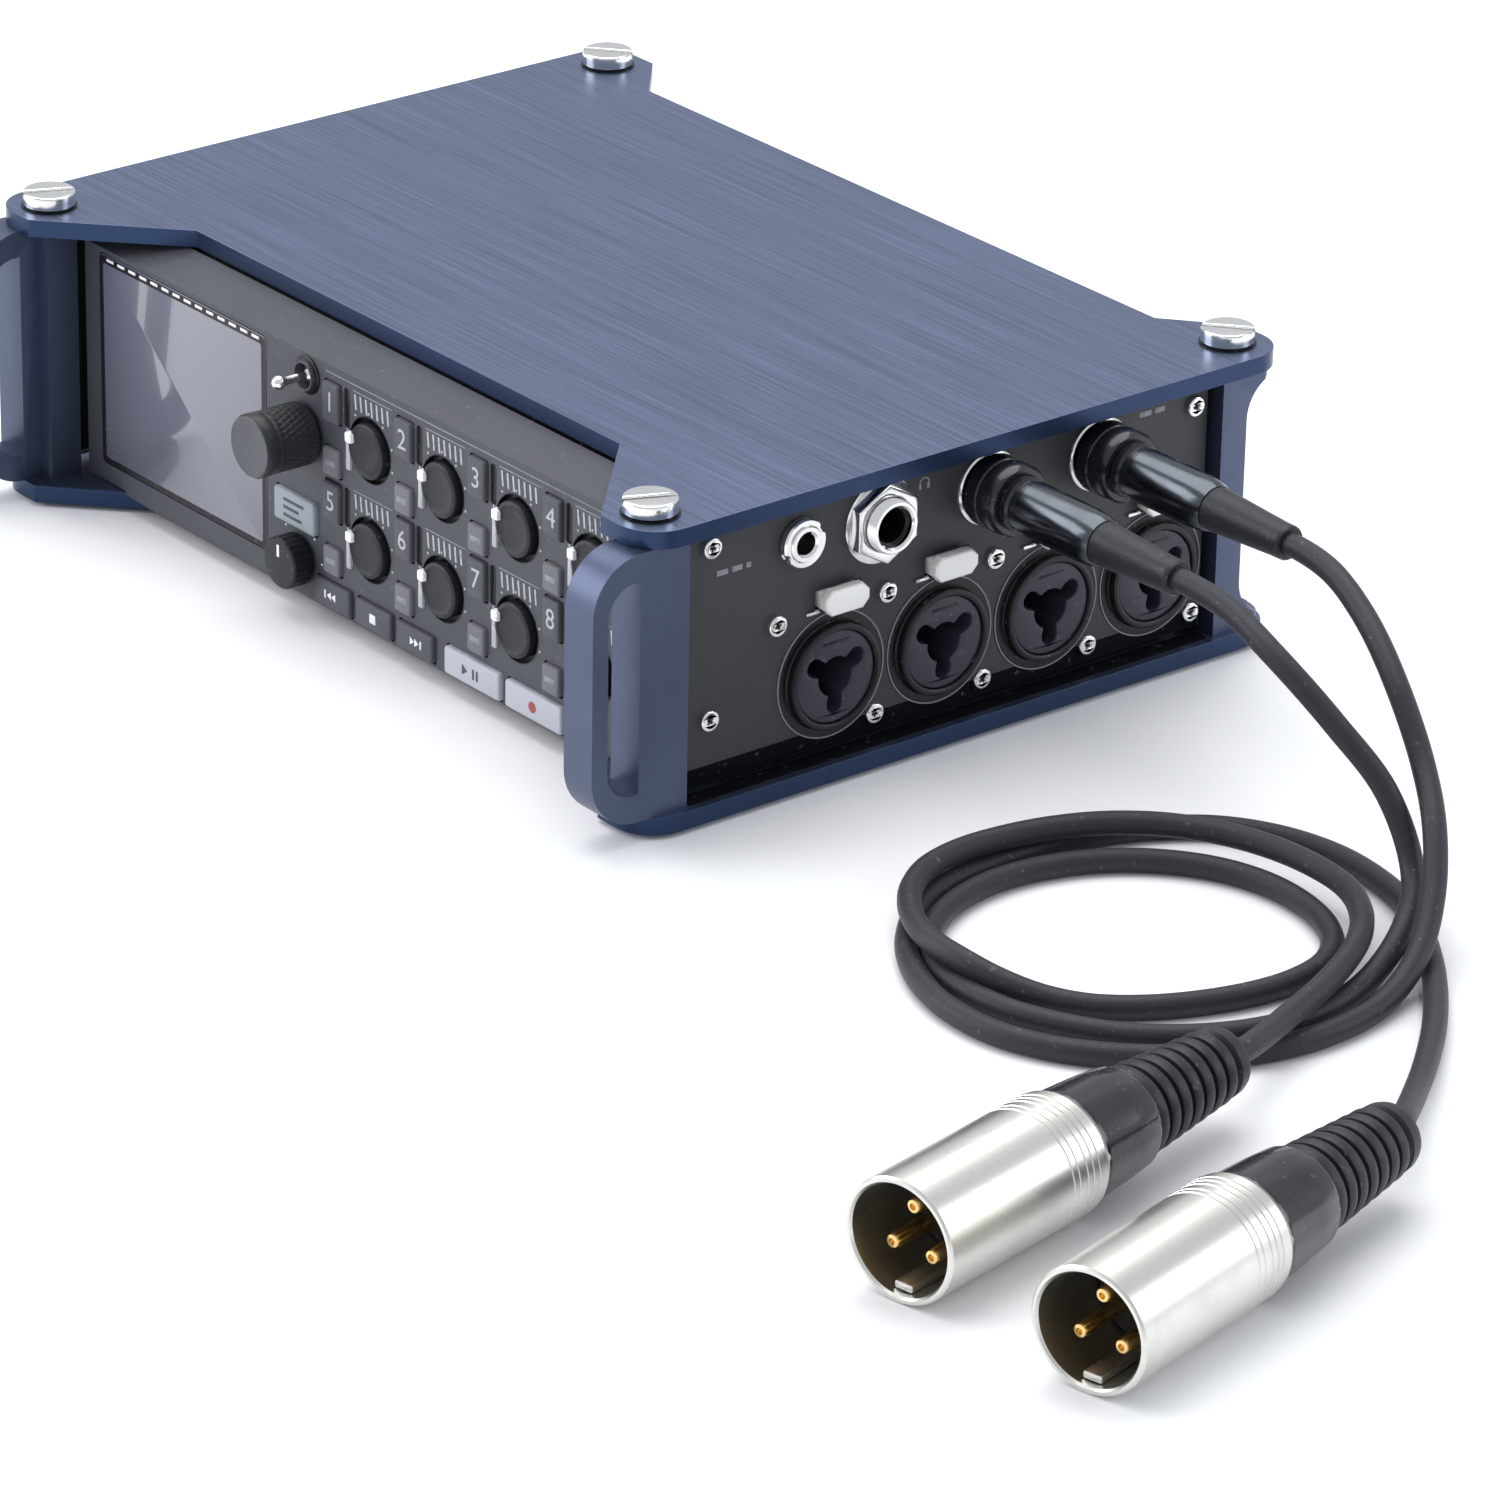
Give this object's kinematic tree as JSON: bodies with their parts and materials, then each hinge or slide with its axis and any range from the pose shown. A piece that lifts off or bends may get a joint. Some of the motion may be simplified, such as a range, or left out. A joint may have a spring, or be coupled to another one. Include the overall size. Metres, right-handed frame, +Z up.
{
  "type": "portable field recorder",
  "caption": "Multitrack audio field recorder: flat metal case with corner bumpers, knobs, keys and display in front, side jacks and two plugged output cords.",
  "frame": {"origin": "centre of the recorder's footprint, at the underside of its feet", "axes": "+X to the recorder's right seen from the front, +Y to its rear, +Z up; the front panel faces -Y"},
  "size_m": [0.356, 0.1941, 0.0543],
  "materials": {
    "plate_blue": "blue anodised aluminium with a fine brushed grain on the flat faces",
    "bumper_blue": "satin blue finish on cast corner bumpers",
    "panel_dark": "dark grey satin powder coat on sheet metal",
    "fascia_plastic": "dark grey moulded plastic, fine grain",
    "display_glass": "clear glossy window over a grey display",
    "board_green": "green solder mask",
    "bright_steel": "bright plated metal",
    "jack_plastic": "black glass-filled plastic",
    "foot_rubber": "soft black rubber",
    "knob_black": "black soft-touch plastic with a white pointer",
    "knob_grey": "dark grey knurled knob",
    "key_grey": "translucent grey silicone key",
    "key_light": "light grey silicone key",
    "cord_pvc": "matte dark grey cord jacket",
    "plug_gunmetal": "dark metal barrel and black boot",
    "plug_nickel": "satin nickel shell with black grip and boot"
  },
  "bodies": {
    "chassis": {"bottom_plate": "plate_blue", "top_plate": "plate_blue", "corner_bumpers": "bumper_blue", "side_panel_right": "panel_dark", "side_panel_left": "panel_dark", "front_fascia": "fascia_plastic", "display_window": "display_glass", "rear_panel": "panel_dark", "circuit_boards": "board_green", "corner_screws": "bright_steel", "panel_screws": "bright_steel", "combo_jacks": "jack_plastic", "monitor_jacks": "bright_steel", "output_sockets": "bright_steel", "rear_sockets": "bright_steel", "feet": "foot_rubber", "cord_coil": "cord_pvc", "front_cord_lead": "cord_pvc", "rear_cord_lead": "cord_pvc", "front_cord_tail": "cord_pvc", "rear_cord_tail": "cord_pvc", "output_plugs": "plug_gunmetal", "xlr_plugs": "plug_nickel"},
    "trim_1": {"trim_knob_1": "knob_black"},
    "trim_2": {"trim_knob_2": "knob_black"},
    "trim_3": {"trim_knob_3": "knob_black"},
    "trim_4": {"trim_knob_4": "knob_black"},
    "trim_5": {"trim_knob_5": "knob_black"},
    "trim_6": {"trim_knob_6": "knob_black"},
    "trim_7": {"trim_knob_7": "knob_black"},
    "trim_8": {"trim_knob_8": "knob_black"},
    "track_1": {"track_key_1": "key_grey"},
    "track_2": {"track_key_2": "key_grey"},
    "track_3": {"track_key_3": "key_grey"},
    "track_4": {"track_key_4": "key_grey"},
    "track_5": {"track_key_5": "key_grey"},
    "track_6": {"track_key_6": "key_grey"},
    "track_7": {"track_key_7": "key_grey"},
    "track_8": {"track_key_8": "key_grey"},
    "listen_1": {"listen_key_1": "key_grey"},
    "listen_2": {"listen_key_2": "key_grey"},
    "listen_3": {"listen_key_3": "key_grey"},
    "listen_4": {"listen_key_4": "key_grey"},
    "listen_5": {"listen_key_5": "key_grey"},
    "listen_6": {"listen_key_6": "key_grey"},
    "listen_7": {"listen_key_7": "key_grey"},
    "listen_8": {"listen_key_8": "key_grey"},
    "rewind": {"rewind_key": "key_grey"},
    "stop": {"stop_key": "key_grey"},
    "forward": {"forward_key": "key_grey"},
    "play": {"play_key": "key_light"},
    "record": {"record_key": "key_light"},
    "menu": {"menu_key": "key_light"},
    "encoder": {"encoder_knob": "knob_grey"},
    "volume": {"volume_knob": "knob_black"},
    "slate": {"slate_lever": "bright_steel"},
    "release_1": {"release_tab_1": "bright_steel"},
    "release_2": {"release_tab_2": "bright_steel"},
    "release_3": {"release_tab_3": "bright_steel"},
    "release_4": {"release_tab_4": "bright_steel"}
  },
  "joints": [
    {"name": "trim_1_turn", "type": "hinge", "parent": "chassis", "child": "trim_1", "pos_m": [0.0035, -0.0503, 0.0346], "axis": [0, 1, 0], "range_deg": [-150, 150]},
    {"name": "trim_2_turn", "type": "hinge", "parent": "chassis", "child": "trim_2", "pos_m": [0.023, -0.0503, 0.0346], "axis": [0, 1, 0], "range_deg": [-150, 150]},
    {"name": "trim_3_turn", "type": "hinge", "parent": "chassis", "child": "trim_3", "pos_m": [0.0425, -0.0503, 0.0346], "axis": [0, 1, 0], "range_deg": [-150, 150]},
    {"name": "trim_4_turn", "type": "hinge", "parent": "chassis", "child": "trim_4", "pos_m": [0.062, -0.0503, 0.0346], "axis": [0, 1, 0], "range_deg": [-150, 150]},
    {"name": "trim_5_turn", "type": "hinge", "parent": "chassis", "child": "trim_5", "pos_m": [0.0035, -0.0503, 0.0173], "axis": [0, 1, 0], "range_deg": [-150, 150]},
    {"name": "trim_6_turn", "type": "hinge", "parent": "chassis", "child": "trim_6", "pos_m": [0.023, -0.0503, 0.0173], "axis": [0, 1, 0], "range_deg": [-150, 150]},
    {"name": "trim_7_turn", "type": "hinge", "parent": "chassis", "child": "trim_7", "pos_m": [0.0425, -0.0503, 0.0173], "axis": [0, 1, 0], "range_deg": [-150, 150]},
    {"name": "trim_8_turn", "type": "hinge", "parent": "chassis", "child": "trim_8", "pos_m": [0.062, -0.0503, 0.0173], "axis": [0, 1, 0], "range_deg": [-150, 150]},
    {"name": "track_1_press", "type": "slide", "parent": "chassis", "child": "track_1", "axis": [0, 1, 0], "range_m": [0, 0.0006], "stiffness_N_per_m": 1200, "springref_m": -0.0004},
    {"name": "track_2_press", "type": "slide", "parent": "chassis", "child": "track_2", "axis": [0, 1, 0], "range_m": [0, 0.0006], "stiffness_N_per_m": 1200, "springref_m": -0.0004},
    {"name": "track_3_press", "type": "slide", "parent": "chassis", "child": "track_3", "axis": [0, 1, 0], "range_m": [0, 0.0006], "stiffness_N_per_m": 1200, "springref_m": -0.0004},
    {"name": "track_4_press", "type": "slide", "parent": "chassis", "child": "track_4", "axis": [0, 1, 0], "range_m": [0, 0.0006], "stiffness_N_per_m": 1200, "springref_m": -0.0004},
    {"name": "track_5_press", "type": "slide", "parent": "chassis", "child": "track_5", "axis": [0, 1, 0], "range_m": [0, 0.0006], "stiffness_N_per_m": 1200, "springref_m": -0.0004},
    {"name": "track_6_press", "type": "slide", "parent": "chassis", "child": "track_6", "axis": [0, 1, 0], "range_m": [0, 0.0006], "stiffness_N_per_m": 1200, "springref_m": -0.0004},
    {"name": "track_7_press", "type": "slide", "parent": "chassis", "child": "track_7", "axis": [0, 1, 0], "range_m": [0, 0.0006], "stiffness_N_per_m": 1200, "springref_m": -0.0004},
    {"name": "track_8_press", "type": "slide", "parent": "chassis", "child": "track_8", "axis": [0, 1, 0], "range_m": [0, 0.0006], "stiffness_N_per_m": 1200, "springref_m": -0.0004},
    {"name": "listen_1_press", "type": "slide", "parent": "chassis", "child": "listen_1", "axis": [0, 1, 0], "range_m": [0, 0.0006], "stiffness_N_per_m": 1200, "springref_m": -0.0004},
    {"name": "listen_2_press", "type": "slide", "parent": "chassis", "child": "listen_2", "axis": [0, 1, 0], "range_m": [0, 0.0006], "stiffness_N_per_m": 1200, "springref_m": -0.0004},
    {"name": "listen_3_press", "type": "slide", "parent": "chassis", "child": "listen_3", "axis": [0, 1, 0], "range_m": [0, 0.0006], "stiffness_N_per_m": 1200, "springref_m": -0.0004},
    {"name": "listen_4_press", "type": "slide", "parent": "chassis", "child": "listen_4", "axis": [0, 1, 0], "range_m": [0, 0.0006], "stiffness_N_per_m": 1200, "springref_m": -0.0004},
    {"name": "listen_5_press", "type": "slide", "parent": "chassis", "child": "listen_5", "axis": [0, 1, 0], "range_m": [0, 0.0006], "stiffness_N_per_m": 1200, "springref_m": -0.0004},
    {"name": "listen_6_press", "type": "slide", "parent": "chassis", "child": "listen_6", "axis": [0, 1, 0], "range_m": [0, 0.0006], "stiffness_N_per_m": 1200, "springref_m": -0.0004},
    {"name": "listen_7_press", "type": "slide", "parent": "chassis", "child": "listen_7", "axis": [0, 1, 0], "range_m": [0, 0.0006], "stiffness_N_per_m": 1200, "springref_m": -0.0004},
    {"name": "listen_8_press", "type": "slide", "parent": "chassis", "child": "listen_8", "axis": [0, 1, 0], "range_m": [0, 0.0006], "stiffness_N_per_m": 1200, "springref_m": -0.0004},
    {"name": "rewind_press", "type": "slide", "parent": "chassis", "child": "rewind", "axis": [0, 1, 0], "range_m": [0, 0.0006], "stiffness_N_per_m": 1200, "springref_m": -0.0004},
    {"name": "stop_press", "type": "slide", "parent": "chassis", "child": "stop", "axis": [0, 1, 0], "range_m": [0, 0.0006], "stiffness_N_per_m": 1200, "springref_m": -0.0004},
    {"name": "forward_press", "type": "slide", "parent": "chassis", "child": "forward", "axis": [0, 1, 0], "range_m": [0, 0.0006], "stiffness_N_per_m": 1200, "springref_m": -0.0004},
    {"name": "play_press", "type": "slide", "parent": "chassis", "child": "play", "axis": [0, 1, 0], "range_m": [0, 0.0006], "stiffness_N_per_m": 1200, "springref_m": -0.0004},
    {"name": "record_press", "type": "slide", "parent": "chassis", "child": "record", "axis": [0, 1, 0], "range_m": [0, 0.0006], "stiffness_N_per_m": 1200, "springref_m": -0.0004},
    {"name": "menu_press", "type": "slide", "parent": "chassis", "child": "menu", "axis": [0, 1, 0], "range_m": [0, 0.0006], "stiffness_N_per_m": 1200, "springref_m": -0.0004},
    {"name": "encoder_turn", "type": "hinge", "parent": "chassis", "child": "encoder", "pos_m": [-0.0142, -0.0503, 0.0321], "axis": [0, 1, 0], "continuous": true},
    {"name": "volume_turn", "type": "hinge", "parent": "chassis", "child": "volume", "pos_m": [-0.0158, -0.0503, 0.0094], "axis": [0, 1, 0], "range_deg": [-150, 150]},
    {"name": "slate_tilt", "type": "hinge", "parent": "chassis", "child": "slate", "pos_m": [-0.0134, -0.0487, 0.0423], "axis": [0, 0, 1], "range_deg": [-12, 12], "stiffness_Nm_per_rad": 0.05},
    {"name": "release_1_press", "type": "slide", "parent": "chassis", "child": "release_1", "axis": [-1, 0, 0], "range_m": [0, 0.001], "stiffness_N_per_m": 1200, "springref_m": -0.0006},
    {"name": "release_2_press", "type": "slide", "parent": "chassis", "child": "release_2", "axis": [-1, 0, 0], "range_m": [0, 0.001], "stiffness_N_per_m": 1200, "springref_m": -0.0006},
    {"name": "release_3_press", "type": "slide", "parent": "chassis", "child": "release_3", "axis": [-1, 0, 0], "range_m": [0, 0.001], "stiffness_N_per_m": 1200, "springref_m": -0.0006},
    {"name": "release_4_press", "type": "slide", "parent": "chassis", "child": "release_4", "axis": [-1, 0, 0], "range_m": [0, 0.001], "stiffness_N_per_m": 1200, "springref_m": -0.0006}
  ]
}
